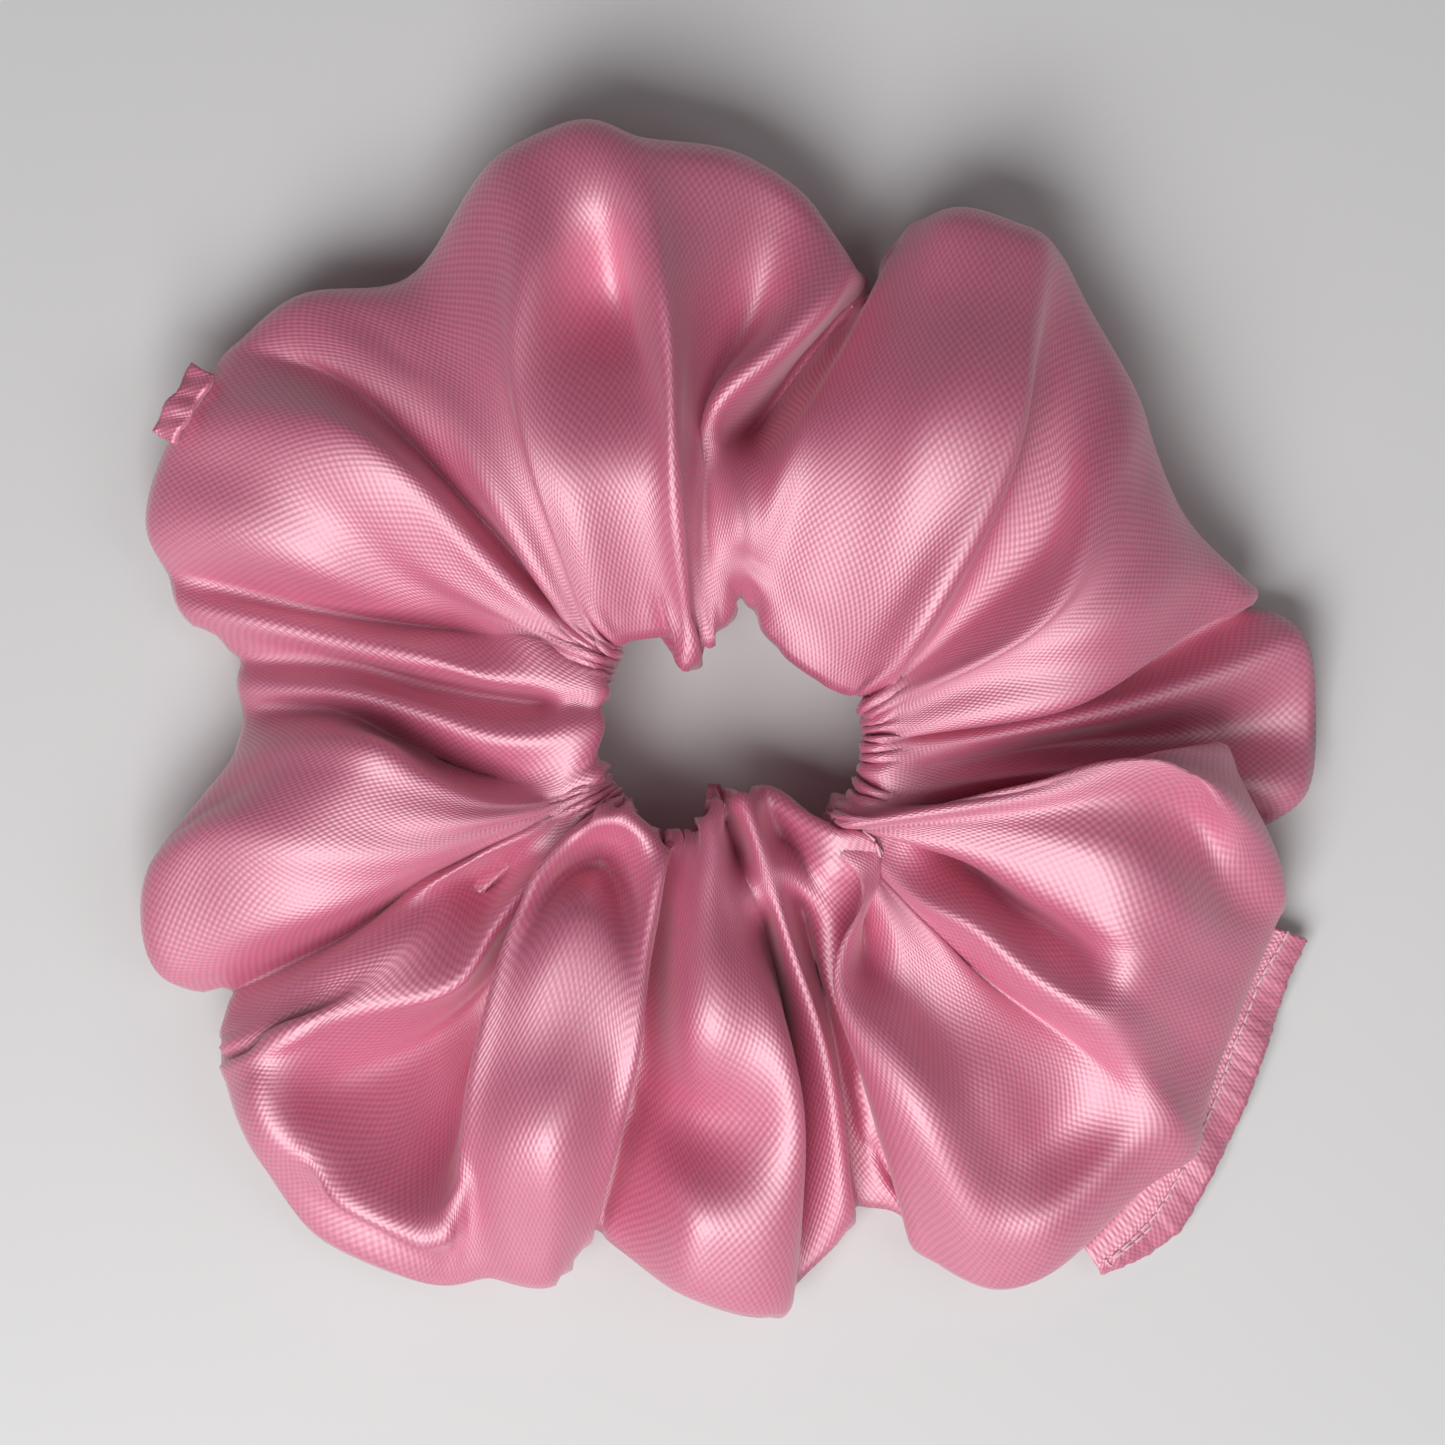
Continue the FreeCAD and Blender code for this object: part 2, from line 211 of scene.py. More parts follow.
# points round the tube along one fold, evenly spaced, from inside the opening over the top
def sectionAlong(line, rows):
    top = line[1:]
    inAngle, inRadius, inHeight = top[0]
    outAngle, outRadius = top[-1][:2]
    inShare, middleShare, outShare = underside["angleShares"]
    underAngle = middleShare * top[len(top) // 2][0] + outShare * outAngle + inShare * inAngle
    wall = min(inRadius * mm + underside["wallGap"], underside["wallRadius"])
    lowest = elasticTop + underside["roomAbove"] if inRadius > underside["roomFrom"] else 0
    outShareOfRadius, added = underside["halfway"]
    corners = np.array([
        onRing(inAngle, wall, elasticMiddle),
        onRing(inAngle, inRadius * mm, max(inHeight * mm, lowest)),
        *[onRing(angle, radius * mm, height * mm) for angle, radius, height in top[1:]],
        onRing((underAngle + outAngle) / 2, outShareOfRadius * outRadius * mm + added, underside["height"]),
        onRing(underAngle, underside["radius"], underside["height"]),
        onRing(inAngle, underside["innerRadius"], underside["innerHeight"]),
    ])
    count, steps = len(corners), 60
    slopes = (np.roll(corners, -1, 0) - np.roll(corners, 1, 0)) / 2
    share = np.linspace(0, 1, steps, endpoint=False)[:, None]
    fine = np.vstack([
        hermite(share, corners[i], corners[i + 1 - count], slopes[i], slopes[i + 1 - count])
        for i in range(count)
    ] + [corners[:1]])
    along = np.concatenate([[0], np.cumsum(np.linalg.norm(np.diff(fine, axis=0), axis=1))])
    edge = along[len(top) * steps]
    half = rows // 2
    wanted = np.concatenate([
        np.linspace(0, edge, half, endpoint=False),
        np.linspace(edge, along[-1], rows - half, endpoint=False),
    ])
    points = np.stack([np.interp(wanted, along, fine[:, axis]) for axis in range(3)], 1)
    fromMiddle = np.hypot(points[:half, 0], points[:half, 1])
    over = elasticTop + underside["roomAbove"]
    clamped = np.interp(fromMiddle, np.array(underside["clampRadii"]) * mm, [0, over, over, 0])
    points[:half, 2] = np.maximum(points[:half, 2], clamped)
    return points


# the gathers as they are arranged, and the length of strip that they take up
def layStrip():
    rows, columns = strip["rows"], strip["columns"]
    ribs = np.array([sectionAlong(line, rows) for line in foldLines])
    crisp = np.array([line[0] in creases for line in foldLines])[:, None, None]
    apart = np.linalg.norm(np.roll(ribs, -1, 0) - ribs, axis=2)
    share = np.percentile(apart, strip["clothInGap"], axis=1)
    starts = np.concatenate([[0], np.cumsum(share)])
    length = starts[-1]
    places = np.arange(columns) / columns * length
    rib = np.searchsorted(starts, places, side="right") - 1
    following = (rib + 1) % len(ribs)
    part = ((places - starts[rib]) / share[rib])[:, None, None]

    weight = share[:, None, None]
    weightBefore = np.roll(share, 1)[:, None, None]
    before = (ribs - np.roll(ribs, 1, 0)) / weightBefore
    after = (np.roll(ribs, -1, 0) - ribs) / weight
    slope = (before * weight + after * weightBefore) / (weight + weightBefore)
    leaving = np.where(crisp, after, slope)
    arriving = np.where(crisp, before, slope)
    scale = share[rib][:, None, None]
    laid = hermite(part, ribs[rib], ribs[following], leaving[rib] * scale, arriving[following] * scale)

    outward = unit(np.cross(
        np.roll(laid, -1, 1) - np.roll(laid, 1, 1),
        np.roll(laid, -1, 0) - np.roll(laid, 1, 0),
    ))
    row = np.arange(rows) / rows
    around = 2 * math.pi * row[None, :]
    along = 2 * math.pi * np.arange(columns)[:, None] / columns

    # the surplus round the elastic and under the ring goes into fine pleats
    pleatCount = np.round(columns / pleats["columns"])
    deep = np.interp(row, *zip(*pleats["deep"])) * pleats["depth"]
    laid += outward * (np.sin(pleatCount * along) * deep[None, :])[..., None]

    # soft creases run with the folds and wander a little across them
    soft = sum(
        height * np.sin(waves * along + drift * np.sin(around * turns + waves) + waves)
        for waves, height, drift, turns in softCreases["waves"]
    )
    onTop = np.interp(row, *zip(*softCreases["onTop"]))
    laid += outward * (softCreases["height"] * soft * onTop)[..., None]
    laid[..., 2] = np.maximum(laid[..., 2], strip["liftOffTable"])
    return laid, length


# the tube pressed flat and closed into a band, where every length is the length it was cut to
def flatStrip(length):
    columns, rows = strip["columns"], strip["rows"]
    layerGap = 0.25 * mm
    turn = 2 * math.pi * np.arange(columns)[:, None] / columns
    row = np.arange(rows)[None, :]
    height = strip["width"] * np.minimum(row, rows - row) / rows
    radius = length / (2 * math.pi) + layerGap * np.sin(2 * math.pi * row / rows)
    return np.stack(np.broadcast_arrays(radius * np.cos(turn), radius * np.sin(turn), height), 2)


def tubeFaces(columns, rows):
    return [
        (i * rows + j, (i + 1) % columns * rows + j,
         (i + 1) % columns * rows + (j + 1) % rows, i * rows + (j + 1) % rows)
        for i in range(columns) for j in range(rows)
    ]


def newObject(name, points, faces=(), edges=()):
    mesh = bpy.data.meshes.new(name)
    mesh.from_pydata([tuple(p) for p in points], edges, faces)
    mesh.update()
    piece = bpy.data.objects.new(name, mesh)
    bpy.context.scene.collection.objects.link(piece)
    return piece


def meshPoints(mesh):
    points = np.empty(len(mesh.vertices) * 3)
    mesh.vertices.foreach_get("co", points)
    return points.reshape(-1, 3)


# the evaluated object as one plain mesh with no modifiers
def finished(piece):
    mesh = bpy.data.meshes.new_from_object(
        piece.evaluated_get(bpy.context.evaluated_depsgraph_get())
    )
    piece.modifiers.clear()
    piece.data = mesh
    return piece


cloth = {
    "scale": 10,              # the solver likes metres, so the ring is settled ten times larger
    "frames": 10,
    "steps": 5,
    "weight": 0.15,
    "airDamping": 2,
    "stretch": 20.0,
    "squeeze": 0.5,
    "shear": 5.0,
    "bending": 30.0,
    "damping": 5,
    # how firmly the hands keep the gathers where they were laid, by the share of the way
    # round the tube from inside the elastic, over the top, and back underneath; a firmer
    # hold at the opening or the edge bursts the gathers into spikes
    "hold": ((0, 0.9), (0.05, 1), (0.35, 1), (0.5, 0.7), (0.56, 0.15), (0.9, 0.15), (0.97, 0.6), (1, 0.9)),
    "grip": 8.0,
    "gap": 0.6 * mm,
    "selfGap": 0.7 * mm,
    "selfFriction": 3,
    "collisionSteps": 3,
    "formSkin": 0.4 * mm,     # thickness of the forms that the cloth settles on
    "elasticFriction": 5,
    "tableFriction": 20,
    "elasticForm": {"inset": 0.1 * mm, "radius": 1.5 * mm, "tallness": 2.3},
    "tableForm": 0.6,         # across, in metres
}


def addCollider(piece, friction):
    bpy.context.view_layer.objects.active = piece
    piece.modifiers.new("collision", "COLLISION")
    piece.collision.thickness_outer = cloth["formSkin"] * cloth["scale"]
    piece.collision.cloth_friction = friction


# stand-ins for the elastic and the table, only while the cloth settles
def addForms(scale):
    form = cloth["elasticForm"]
    bpy.ops.mesh.primitive_torus_add(
        major_radius=(elasticOuter - form["inset"]) * scale, minor_radius=form["radius"] * scale,
        major_segments=64, minor_segments=12,
    )
    elasticForm = bpy.context.object
    for vertex in elasticForm.data.vertices:
        vertex.co.z = form["tallness"] * vertex.co.z + elasticMiddle * scale
    addCollider(elasticForm, cloth["elasticFriction"])
    bpy.ops.mesh.primitive_plane_add(size=cloth["tableForm"] * scale)
    tableForm = bpy.context.object
    addCollider(tableForm, cloth["tableFriction"])
    return elasticForm, tableForm


# let the laid strip settle as cloth over the elastic and the table
def gatherStrip():
    laid, length = layStrip()
    print("gathers laid in", len(foldLines), "folds")
    scale, rows = cloth["scale"], strip["rows"]
    piece = newObject("settling", laid.reshape(-1, 3) * scale, tubeFaces(strip["columns"], rows))
    piece.shape_key_add(name="laid")
    flat = piece.shape_key_add(name="flat")
    flat.data.foreach_set("co", (flatStrip(length) * scale).ravel())
    hold = piece.vertex_groups.new(name="hold")
    for row in range(rows):
        firmness = float(np.interp(row / rows, *zip(*cloth["hold"])))
        hold.add(list(range(row, strip["columns"] * rows, rows)), firmness, "REPLACE")
    forms = addForms(scale)

    modifier = piece.modifiers.new("cloth", "CLOTH")
    settings = modifier.settings
    settings.quality = cloth["steps"]
    settings.mass = cloth["weight"]
    settings.air_damping = cloth["airDamping"]
    settings.tension_stiffness = cloth["stretch"]
    settings.compression_stiffness = cloth["squeeze"]
    settings.shear_stiffness = cloth["shear"]
    settings.bending_stiffness = cloth["bending"]
    settings.tension_damping = settings.compression_damping = settings.shear_damping = cloth["damping"]
    settings.rest_shape_key = flat
    settings.vertex_group_mass = "hold"
    settings.pin_stiffness = cloth["grip"]
    collision = modifier.collision_settings
    collision.distance_min = cloth["gap"] * scale
    collision.use_self_collision = True
    collision.self_distance_min = cloth["selfGap"] * scale
    collision.self_friction = cloth["selfFriction"]
    collision.collision_quality = cloth["collisionSteps"]
    modifier.point_cache.frame_end = cloth["frames"] + 1
    scene = bpy.context.scene
    for frameNumber in range(1, cloth["frames"] + 1):
        scene.frame_set(frameNumber)
    settled = piece.evaluated_get(bpy.context.evaluated_depsgraph_get())
    points = meshPoints(settled.data).reshape(laid.shape) / scale
    for helper in (piece, *forms):
        bpy.data.objects.remove(helper)
    scene.frame_set(1)
    print("cloth settled over the elastic")
    return points, length


# twice as many points along a closed axis; the new ones lie on the curve through the old
def refine(grid, axis):
    between = (9 * (grid + np.roll(grid, -1, axis)) - np.roll(grid, 1, axis) - np.roll(grid, -2, axis)) / 16
    shape = list(grid.shape)
    shape[axis] *= 2
    return np.stack([grid, between], axis + 1).reshape(shape)


# a map whose u runs along the strip and whose v runs round the tube, both from 0 to 1
def addStripMap(mesh, columns, rows):
    layer = mesh.uv_layers.new(name="strip")
    loops = np.empty(len(mesh.loops), int)
    mesh.loops.foreach_get("vertex_index", loops)
    column, row = (loops // rows).reshape(-1, 4), (loops % rows).reshape(-1, 4)
    column = np.where((column == 0) & (column.max(1, keepdims=True) > 1), columns, column)
    row = np.where((row == 0) & (row.max(1, keepdims=True) > 1), rows, row)
    places = np.stack([column / columns, row / rows], 2)
    layer.uv.foreach_set("vector", places.astype(np.float32).ravel())


def newMaterial(name):
    material = bpy.data.materials.new(name)
    material.use_nodes = True
    tree = material.node_tree
    return material, tree, tree.nodes["Principled BSDF"]


# a math node; each value is a number or the output of another node
def mathOf(tree, operation, *values):
    node = tree.nodes.new("ShaderNodeMath")
    node.operation = operation
    for socket, value in zip(node.inputs, values):
        if isinstance(value, (int, float)):
            socket.default_value = value
        else:
            tree.links.new(value, socket)
    return node.outputs[0]


def fromWave(tree, wave):
    # from -1..1 to 0..1
    node = tree.nodes.new("ShaderNodeMapRange")
    node.inputs["From Min"].default_value = -1
    tree.links.new(wave, node.inputs["Value"])
    return node.outputs[0]


def paint(tree, shader, share, low, high):
    mix = tree.nodes.new("ShaderNodeMix")
    mix.data_type = "RGBA"
    mix.inputs["A"].default_value = low
    mix.inputs["B"].default_value = high
    tree.links.new(share, mix.inputs["Factor"])
    tree.links.new(mix.outputs["Result"], shader.inputs["Base Color"])


def raiseRelief(tree, height, strength, distance, *normals):
    bump = tree.nodes.new("ShaderNodeBump")
    bump.inputs["Strength"].default_value = strength
    bump.inputs["Distance"].default_value = distance
    tree.links.new(height, bump.inputs["Height"])
    for normal in normals:
        tree.links.new(bump.outputs[0], normal)


satinLook = {
    "colour": (0.74, 0.11, 0.255, 1),
    # painted shade: the gaps between the floats are darkened where shade falls
    "gapShade": (0.33, 0.022, 0.085, 1),
    "floatShare": (0.75, 0.3),    # how much of the colour gives way to the painted gap shade with the weave, and what stays
    "floatLength": 0.50 * mm,     # of one float of the weave, round the tube
    "floatPitch": 0.38 * mm,      # from one float to the next, along the strip
    "relief": 0.06 * mm,
    "reliefStrength": 0.8,
    "roughness": 0.54,
    "anisotropy": 0.4,
    "sheen": 0.25,
    "sheenRoughness": 0.4,
    "metal": 0.1,
    "gloss": 1.0,
    "glossRoughness": 0.57,
    "glossIndex": 2.8,
    "depthShare": 0.3,            # of the light goes into the cloth, red the furthest
    "depth": 1.2 * mm,
    "depthColours": (1, 0.25, 0.4),
}


# satin: staggered floats on the strip's own map, in relief, with painted shade darkening the gaps between
# them
def pinkSatin(length):
    material, tree, shader = newMaterial("pinkSatin")
    nodes, links = tree.nodes, tree.links
    place = nodes.new("ShaderNodeUVMap")
    place.uv_map = "strip"
    scaled = nodes.new("ShaderNodeVectorMath")
    scaled.operation = "MULTIPLY"
    scaled.inputs[1].default_value = (
        math.pi * length / satinLook["floatPitch"], math.pi * strip["width"] / satinLook["floatLength"], 0
    )
    links.new(place.outputs["UV"], scaled.inputs[0])
    waves = nodes.new("ShaderNodeVectorMath")
    waves.operation = "SINE"
    links.new(scaled.outputs[0], waves.inputs[0])
    parts = nodes.new("ShaderNodeSeparateXYZ")
    links.new(waves.outputs[0], parts.inputs[0])
    lifted = fromWave(tree, mathOf(tree, "MULTIPLY", parts.outputs["X"], parts.outputs["Y"]))
    shade = mathOf(tree, "MULTIPLY_ADD", lifted, *satinLook["floatShare"])
    shade.node.use_clamp = True
    # painted shade in the weave's gaps, mixed into the base colour
    paint(tree, shader, shade, satinLook["gapShade"], satinLook["colour"])
    raiseRelief(tree, lifted, satinLook["reliefStrength"], satinLook["relief"],
                shader.inputs["Normal"], shader.inputs["Coat Normal"])
    tangent = nodes.new("ShaderNodeTangent")
    tangent.direction_type = "UV_MAP"
    tangent.uv_map = "strip"
    links.new(tangent.outputs[0], shader.inputs["Tangent"])
    for socket, value in (
        ("Roughness", "roughness"), ("Anisotropic", "anisotropy"), ("Sheen Weight", "sheen"),
        ("Sheen Roughness", "sheenRoughness"), ("Metallic", "metal"), ("Coat Weight", "gloss"),
        ("Coat Roughness", "glossRoughness"), ("Coat IOR", "glossIndex"),
        ("Subsurface Weight", "depthShare"), ("Subsurface Radius", "depthColours"),
        ("Subsurface Scale", "depth"),
    ):
        shader.inputs[socket].default_value = satinLook[value]
    return material


threadLook = {"shadow": 0.7, "relief": 0.04 * mm, "reliefStrength": 0.6, "roughness": 0.55, "sheen": 0.4}


# spun thread: fine diagonal plies and a soft sheen
def spunThread(name, colour, twist):
    material, tree, shader = newMaterial(name)
    place = tree.nodes.new("ShaderNodeTexCoord")
    plies = tree.nodes.new("ShaderNodeTexWave")
    plies.bands_direction = "DIAGONAL"
    plies.inputs["Scale"].default_value = 1 / twist
    tree.links.new(place.outputs["Object"], plies.inputs["Vector"])
    shadow = [threadLook["shadow"] * part for part in colour[:3]] + [1]
    paint(tree, shader, plies.outputs["Fac"], shadow, colour)
    raiseRelief(tree, plies.outputs["Fac"], threadLook["reliefStrength"], threadLook["relief"],
                shader.inputs["Normal"])
    shader.inputs["Roughness"].default_value = threadLook["roughness"]
    shader.inputs["Sheen Weight"].default_value = threadLook["sheen"]
    return material


elasticLook = {
    "ribs": 160.0,                # round the loop
    "pick": 0.75 * mm,            # from one crossing of the braid to the next, across the band
    # painted shade in the gaps of the braid
    "gapShade": (0.55, 0.53, 0.50, 1),
    "colour": (0.82, 0.80, 0.77, 1),
    "threadColour": (0.80, 0.78, 0.75, 1),
    "threadTwist": 0.5 * mm,
    "relief": 0.15 * mm,
    "reliefStrength": 0.8,
    "roughness": 0.75,
}


# flat braided elastic: ribs along it, crossed by the picks of the braid, in relief and with painted shade in
# the gaps
def braidedElastic():
    material, tree, shader = newMaterial("braidedElastic")
    place = tree.nodes.new("ShaderNodeTexCoord")
    parts = tree.nodes.new("ShaderNodeSeparateXYZ")
    tree.links.new(place.outputs["Object"], parts.inputs[0])
    angle = mathOf(tree, "ARCTAN2", parts.outputs["Y"], parts.outputs["X"])
    ribs, picks = [
        mathOf(tree, "SINE", mathOf(tree, "MULTIPLY", source, frequency))
        for source, frequency in (
            (angle, elasticLook["ribs"]), (parts.outputs["Z"], 2 * math.pi / elasticLook["pick"])
        )
    ]
    braid = fromWave(tree, mathOf(tree, "MULTIPLY", ribs, picks))
    # painted shade: the braid's gaps darkened in the base colour
    paint(tree, shader, braid, elasticLook["gapShade"], elasticLook["colour"])
    raiseRelief(tree, braid, elasticLook["reliefStrength"], elasticLook["relief"], shader.inputs["Normal"])
    shader.inputs["Roughness"].default_value = elasticLook["roughness"]
    return material


points, stripLength = gatherStrip()
points = refine(refine(points, 0), 1)
columns, rows = points.shape[:2]
casing = newObject("satinCasing", points.reshape(-1, 3), tubeFaces(columns, rows))
addStripMap(casing.data, columns, rows)
print("casing gathered from a strip of", round(stripLength / mm), "mm")


closing = {
    # where the two layers are stitched flat, and where they end, as degrees and millimetres
    "stitchLine": ((-56, 75.0), (-49.5, 73.6), (-46, 72.3), (-39, 69.8), (-33, 67.5), (-25.7, 66.5),
                   (-20.4, 67.5)),
    "edge": ((-56, 75.8), (-52, 77.3), (-48.4, 77.6), (-42.4, 75.2), (-36.7, 73.4), (-32.8, 72.1),
             (-27.9, 70.8), (-24.3, 70.1), (-20.4, 70.4)),
    "start": -56,             # degrees round the ring
    "turn": 35.6,
    "inside": 4.0 * mm,       # how far the flat part reaches under the gathers
    "insideRise": 0.3 * mm,
    "height": 3.6 * mm,
    "droop": 1.6 * mm,        # of the free edge
    "droopCurve": 1.5,
    "thickness": 0.8 * mm,
    # share of the height, how many along the closing, how far they wander, and how often
    "puckers": ((0.6, 23, 3.0, 9), (0.4, 39.79, 2.0, 14)),
    "puckerHeight": 0.10 * mm,
    "puckerInside": 0.25,     # share of the puckers' height left under the gathers
    "puckerFade": 1.6,
    "ruffles": ((0.6, 3.3, 1), (0.4, 6.1, 0)),  # share of the height, how many, and where they start
    "ruffle": 0.8 * mm,
    "outward": 1.018,         # the flat part lies lower than the gathers over it, so it sits further out
    "steps": 140,
    "across": (-1, -0.5, -0.12, 0, 0.12, 0.3, 0.5, 0.7, 0.87, 1),
}


# a point on the middle of the flat closing; across is 0 at the stitches and 1 at the edge
def closingPoint(angle, across):
    stitchRadius = np.interp(angle, *zip(*closing["stitchLine"])) * mm * closing["outward"]
    edgeRadius = np.interp(angle, *zip(*closing["edge"])) * mm * closing["outward"]
    along = (angle - closing["start"]) / closing["turn"]
    pucker = sum(
        share * math.sin(2 * math.pi * count * along + drift * math.sin(often * along))
        for share, count, drift, often in closing["puckers"]
    )
    ruffle = sum(
        share * math.sin(2 * math.pi * count * along + begin) for share, count, begin in closing["ruffles"]
    )
    if across < 0:
        radius = stitchRadius + across * closing["inside"]
        height = closing["height"] - closing["insideRise"] * across
    else:
        radius = stitchRadius + across * (edgeRadius - stitchRadius)
        radius += closing["puckerHeight"] * pucker * across
        height = closing["height"] - closing["droop"] * across**closing["droopCurve"]
        height += closing["ruffle"] * ruffle * across
    inside = closing["puckerInside"]
    swell = inside + (1 - inside) * max(across, 0) * (closing["puckerFade"] - across)
    height += closing["puckerHeight"] * pucker * swell
    return Vector(onRing(angle, radius, height))


# a closed flat piece of two layers, from a grid of points on its middle
def addSlab(name, grid, thickness):
    stepAlong, stepAcross = 0.4 * mm, 0.6 * mm     # between the grid's points, for the weave
    long, wide = len(grid), len(grid[0])
    faces = [(i * wide + j, (i + 1) * wide + j, (i + 1) * wide + j + 1, i * wide + j + 1)
             for i in range(long - 1) for j in range(wide - 1)]
    piece = newObject(name, [point for line in grid for point in line], faces)
    layer = piece.data.uv_layers.new(name="strip")
    for loop in piece.data.loops:
        i, j = divmod(loop.vertex_index, wide)
        layer.uv[loop.index].vector = (i * stepAlong / stripLength, j * stepAcross / strip["width"])
    if sum(face.normal.z for face in piece.data.polygons) < 0:
        piece.data.flip_normals()
    slab = piece.modifiers.new("two layers", "SOLIDIFY")
    slab.thickness = thickness
    slab.offset = 0
    return finished(piece)


hem = addSlab("closingHem", [
    [closingPoint(closing["start"] + closing["turn"] * i / closing["steps"], across)
     for across in closing["across"]]
    for i in range(closing["steps"] + 1)
], closing["thickness"])
print("closing hem laid")

turnedEnd = {
    "angle": 149.6,
    "radius": 73.4,           # in millimetres
    "length": 9 * mm,
    "width": 3.0 * mm,
    "height": 13.0 * mm,
    "thickness": 0.9 * mm,
    "lean": -0.35,            # outwards and down
    "crumples": ((0.30 * mm, 9, 3), (0.12 * mm, 21, -4)),  # height, and how often along and across
    "fray": (0.10, 13),       # share of the width, and how often
    "arch": 1.2 * mm,
    "drop": 2.0 * mm,         # of its clockwise end
    "steps": (30, 8),
}


# the folded end of the long seam, a small frayed strip lying along the outer edge
def turnedEndPoint(along, across):
    middle = Vector(onRing(turnedEnd["angle"], turnedEnd["radius"] * mm, turnedEnd["height"]))
    turn = math.radians(turnedEnd["angle"])
    outward = Vector((math.cos(turn), math.sin(turn), turnedEnd["lean"]))
    sideways = Vector((-math.sin(turn), math.cos(turn), 0.0))
    fray, often = turnedEnd["fray"]
    width = turnedEnd["width"] * (1 + fray * math.sin(often * along))
    place = middle + sideways * (along * turnedEnd["length"]) + outward * (across * width)
    crumple = sum(height * math.sin(a * along + b * across) for height, a, b in turnedEnd["crumples"])
    place.z += crumple + turnedEnd["arch"] * (0.25 - along * along) - turnedEnd["drop"] * max(-along, 0)
    return place


longSteps, wideSteps = turnedEnd["steps"]
tab = addSlab("turnedEnd", [
    [turnedEndPoint(i / longSteps - 0.5, j / wideSteps - 0.5) for j in range(wideSteps + 1)]
    for i in range(longSteps + 1)
], turnedEnd["thickness"])
print("turned end laid")

wall = casing.modifiers.new("cloth thickness", "SOLIDIFY")
wall.thickness = strip["thickness"]
wall.offset = -1
casing = finished(casing)
bpy.ops.object.select_all(action="DESELECT")
for part in (hem, tab, casing):
    part.select_set(True)
bpy.context.view_layer.objects.active = casing
bpy.ops.object.join()
casing.select_set(False)
for face in casing.data.polygons:
    face.use_smooth = True
casing.data.materials.clear()
casing.data.materials.append(pinkSatin(stripLength))
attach(casing, "casing")
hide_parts("satin_casing")
print("closing hem and turned end joined to the casing")

stitchLook = {
    "colour": (0.86, 0.52, 0.60, 1),
    "thread": 0.34 * mm,
    "twist": 0.5 * mm,
    "archSteps": 4,
    "threadSides": 6,
}


# geometry nodes that lay one stitch after another along a line of edges
def stitchTree():
    tree = bpy.data.node_groups.new("stitches", "GeometryNodeTree")
    interface = tree.interface
    interface.new_socket("Geometry", in_out="INPUT", socket_type="NodeSocketGeometry")
    for label, value in (("Pitch", 1.5 * mm), ("Length", 1.1 * mm), ("Thread", stitchLook["thread"])):
        interface.new_socket(label, in_out="INPUT", socket_type="NodeSocketFloat").default_value = value
    interface.new_socket("Material", in_out="INPUT", socket_type="NodeSocketMaterial")
    interface.new_socket("Geometry", in_out="OUTPUT", socket_type="NodeSocketGeometry")
    nodes, links = tree.nodes, tree.links
    given = nodes.new("NodeGroupInput")
    line = nodes.new("GeometryNodeMeshToCurve")
    links.new(given.outputs["Geometry"], line.inputs["Mesh"])
    spaced = nodes.new("GeometryNodeResampleCurve")
    spaced.mode = "LENGTH"
    links.new(line.outputs["Curve"], spaced.inputs["Curve"])
    links.new(given.outputs["Pitch"], spaced.inputs["Length"])
    tangent = nodes.new("GeometryNodeInputTangent")
    aim = nodes.new("FunctionNodeAlignRotationToVector")
    aim.axis = "X"
    links.new(tangent.outputs[0], aim.inputs["Vector"])

    # one stitch is a low arch of thread
    def corner(axis, size, share):
        place = nodes.new("ShaderNodeCombineXYZ")
        links.new(mathOf(tree, "MULTIPLY", given.outputs[size], share), place.inputs[axis])
        return place.outputs[0]

    arch = nodes.new("GeometryNodeCurveQuadraticBezier")
    arch.inputs["Resolution"].default_value = stitchLook["archSteps"]
    links.new(corner("X", "Length", -0.5), arch.inputs["Start"])
    links.new(corner("Z", "Thread", 1), arch.inputs["Middle"])
    links.new(corner("X", "Length", 0.5), arch.inputs["End"])
    ring = nodes.new("GeometryNodeCurvePrimitiveCircle")
    ring.inputs["Resolution"].default_value = stitchLook["threadSides"]
    links.new(mathOf(tree, "MULTIPLY", given.outputs["Thread"], 0.5), ring.inputs["Radius"])
    stitch = nodes.new("GeometryNodeCurveToMesh")
    stitch.inputs["Fill Caps"].default_value = True
    links.new(arch.outputs[0], stitch.inputs["Curve"])
    links.new(ring.outputs[0], stitch.inputs["Profile Curve"])

    place = nodes.new("GeometryNodeInstanceOnPoints")
    links.new(spaced.outputs["Curve"], place.inputs["Points"])
    links.new(stitch.outputs["Mesh"], place.inputs["Instance"])
    links.new(aim.outputs["Rotation"], place.inputs["Rotation"])
    real = nodes.new("GeometryNodeRealizeInstances")
    links.new(place.outputs["Instances"], real.inputs["Geometry"])
    finish = nodes.new("GeometryNodeSetMaterial")
    links.new(real.outputs["Geometry"], finish.inputs["Geometry"])
    links.new(given.outputs["Material"], finish.inputs["Material"])
    out = nodes.new("NodeGroupOutput")
    links.new(finish.outputs["Geometry"], out.inputs["Geometry"])
    return tree


stitches = stitchTree()
pinkThread = spunThread("pinkThread", stitchLook["colour"], stitchLook["twist"])


# one row of stitches along a line of points, standing for a CAD thread
def addStitches(name, line, node, pitch, length, closed=False):
    count = len(line)
    edges = [(i, (i + 1) % count) for i in range(count if closed else count - 1)]
    row = newObject(name, line, edges=edges)
    modifier = row.modifiers.new("stitches", "NODES")
    modifier.node_group = stitches
    values = {"Pitch": pitch, "Length": length, "Thread": stitchLook["thread"], "Material": pinkThread}
    for socket in stitches.interface.items_tree:
        if socket.in_out == "INPUT" and socket.name in values:
            modifier[socket.identifier] = values[socket.name]
    row.update_tag()
    row = finished(row)
    if not row.data.materials:
        row.data.materials.append(pinkThread)
    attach(row, "casing")
    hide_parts(node)


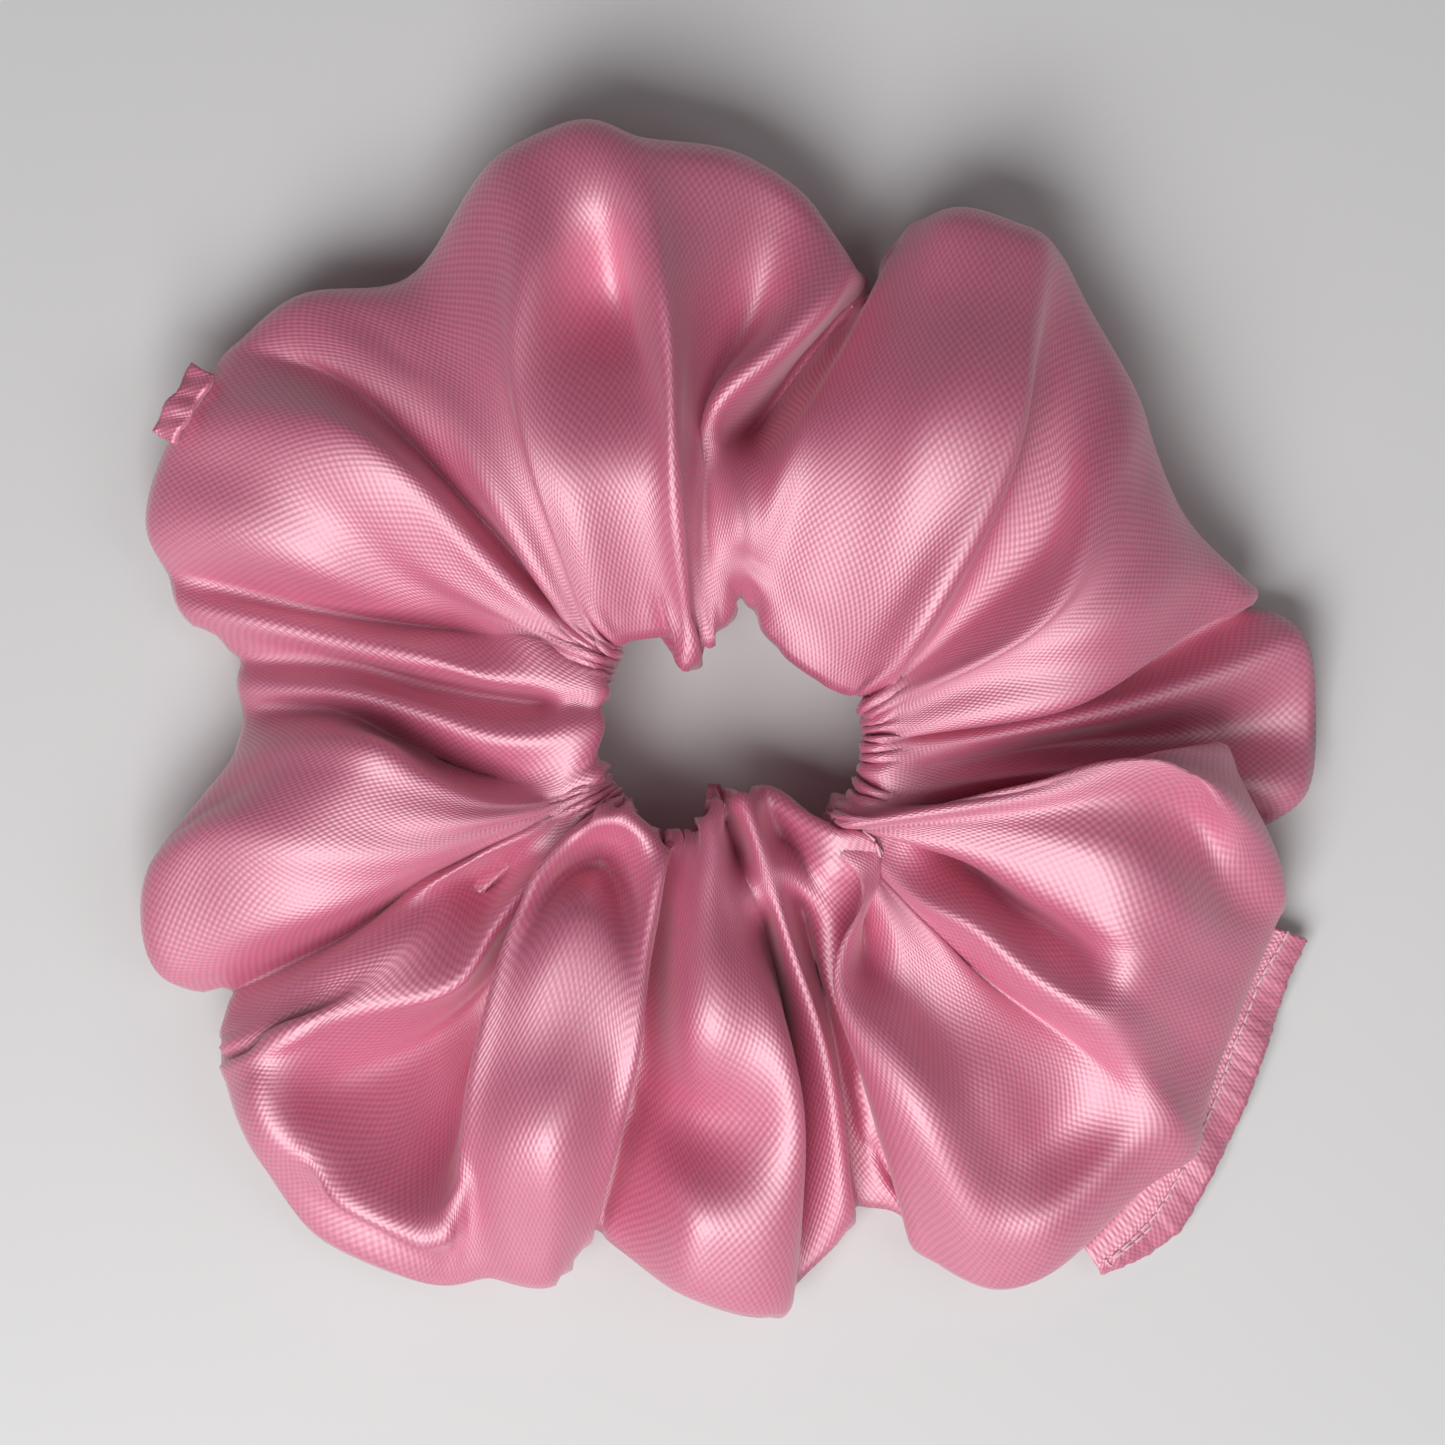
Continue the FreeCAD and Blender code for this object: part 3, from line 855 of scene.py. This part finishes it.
closingSeam = {
    "pitch": 1.5 * mm,
    "length": 1.15 * mm,
    "start": -55,             # degrees round the ring
    "turn": 34.2,
    "across": 0.18,           # share of the way from the gathers to the edge
    "steps": 160,
    "backTack": {"turn": 4.5, "across": 0.34, "steps": 20},
    "proud": 0.05 * mm,       # of the cloth
}


def seamOnClosing(turn, across, steps):
    return [closingPoint(closingSeam["start"] + turn * i / steps, across) for i in range(steps + 1)]


lift = Vector((0, 0, closing["thickness"] / 2 + closingSeam["proud"]))
closingLine = seamOnClosing(closingSeam["turn"], closingSeam["across"], closingSeam["steps"])
backTack = seamOnClosing(**closingSeam["backTack"])
for name, node, line in (
    ("closingNeedleStitches", "closing_seam_needle_thread", [p + lift for p in backTack[::-1] + closingLine]),
    ("closingBobbinStitches", "closing_seam_bobbin_thread", [p - lift for p in closingLine]),
):
    addStitches(name, line, node, closingSeam["pitch"], closingSeam["length"])
print("closing stitched")

seams = {
    "pitch": 2.2 * mm,
    "length": 1.7 * mm,
    "crossAt": (294, 34 * mm, 7 * mm),  # a point on the joined ends of the strip
    "crossNeedle": 0.10 * mm,           # out of the cloth
    "crossBobbin": -0.45 * mm,
    # just under the outer edge, and open where the closing hem is
    "longAt": 0.53,
    "closedFrom": -19,
    "closedTo": 303,
    "longNeedle": -0.75 * mm,
    "longBobbin": -1.05 * mm,
}

outward = unit(np.cross(
    np.roll(points, -1, 0) - np.roll(points, 1, 0),
    np.roll(points, -1, 1) - np.roll(points, 1, 1),
))
# the top of the tube faces up
if outward[:, rows // 6: rows // 3, 2].mean() < 0:
    outward = -outward
onTop = points[:, :rows // 2]
crossColumn = int(np.argmin(np.linalg.norm(onTop - onRing(*seams["crossAt"]), axis=2).min(1)))
for name, node, out in (
    ("crossSeamNeedleStitches", "cross_seam_needle_thread", seams["crossNeedle"]),
    ("crossSeamBobbinStitches", "cross_seam_bobbin_thread", seams["crossBobbin"]),
):
    line = points[crossColumn] + out * outward[crossColumn]
    addStitches(name, list(line), node, seams["pitch"], seams["length"], closed=True)
print("cross seam stitched")

longRow = int(seams["longAt"] * rows)
turn = np.degrees(np.arctan2(points[:, longRow, 1], points[:, longRow, 0]))
turn = np.where(turn < (seams["closedFrom"] + seams["closedTo"] - 360) / 2, turn + 360, turn)
sewn = np.roll(np.arange(columns), -int(np.argmin(turn)))
sewn = sewn[(turn[sewn] > seams["closedFrom"]) & (turn[sewn] < seams["closedTo"])]
for name, node, out in (
    ("longSeamNeedleStitches", "long_seam_needle_thread", seams["longNeedle"]),
    ("longSeamBobbinStitches", "long_seam_bobbin_thread", seams["longBobbin"]),
):
    line = points[sewn, longRow] + out * outward[sewn, longRow]
    addStitches(name, list(line), node, seams["pitch"], seams["length"])
print("long seam stitched")

elasticFinish = braidedElastic()
whiteThread = spunThread("whiteThread", elasticLook["threadColour"], elasticLook["threadTwist"])
for node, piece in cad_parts.items():
    if node.startswith("elastic"):
        material = whiteThread if "thread" in node else elasticFinish
        if not piece.data.materials:
            piece.data.materials.append(material)
        for slot in piece.material_slots:
            slot.material = material
print("elastic finished")

table = {"size": 3.0, "colour": (0.62, 0.615, 0.615, 1), "roughness": 0.5}
floor = newObject(
    "table",
    [(x * table["size"], y * table["size"], 0) for x, y in ((-1, -1), (1, -1), (1, 1), (-1, 1))],
    [(0, 1, 2, 3)],
)
paleTable, tree, shader = newMaterial("paleTable")
shader.inputs["Base Color"].default_value = table["colour"]
shader.inputs["Roughness"].default_value = table["roughness"]
floor.data.materials.append(paleTable)

lamps = {
    "window": {"place": (-0.16, -0.46, 0.62), "size": 0.6, "power": 7.3},
    "fill": {"place": (0.5, -0.1, 0.7), "size": 0.5, "power": 0.9},
}
for name, lamp in lamps.items():
    light = bpy.data.lights.new(name, "AREA")
    light.size = lamp["size"]
    light.energy = lamp["power"]
    holder = bpy.data.objects.new(name, light)
    holder.location = lamp["place"]
    holder.rotation_euler = (-Vector(lamp["place"])).to_track_quat("-Z", "Y").to_euler()
    bpy.context.scene.collection.objects.link(holder)

room = {"colour": (1, 0.95, 0.97, 1), "strength": 0.11}
world = bpy.data.worlds.new("room")
world.use_nodes = True
background = world.node_tree.nodes["Background"]
background.inputs["Color"].default_value = room["colour"]
background.inputs["Strength"].default_value = room["strength"]
bpy.context.scene.world = world
print("table and lamps placed")

view = {"height": 0.62, "across": 0.1662, "subjectHeight": 0.014, "aside": (-0.0012, 0.0004)}
camera = bpy.data.cameras.new("overhead")
camera.angle = 2 * math.atan(view["across"] / 2 / (view["height"] - view["subjectHeight"]))
cameraHolder = bpy.data.objects.new("overhead", camera)
cameraHolder.location = (*view["aside"], view["height"])
bpy.context.scene.collection.objects.link(cameraHolder)
bpy.context.scene.camera = cameraHolder
bpy.context.scene.view_settings.view_transform = "Standard"
print("camera placed")
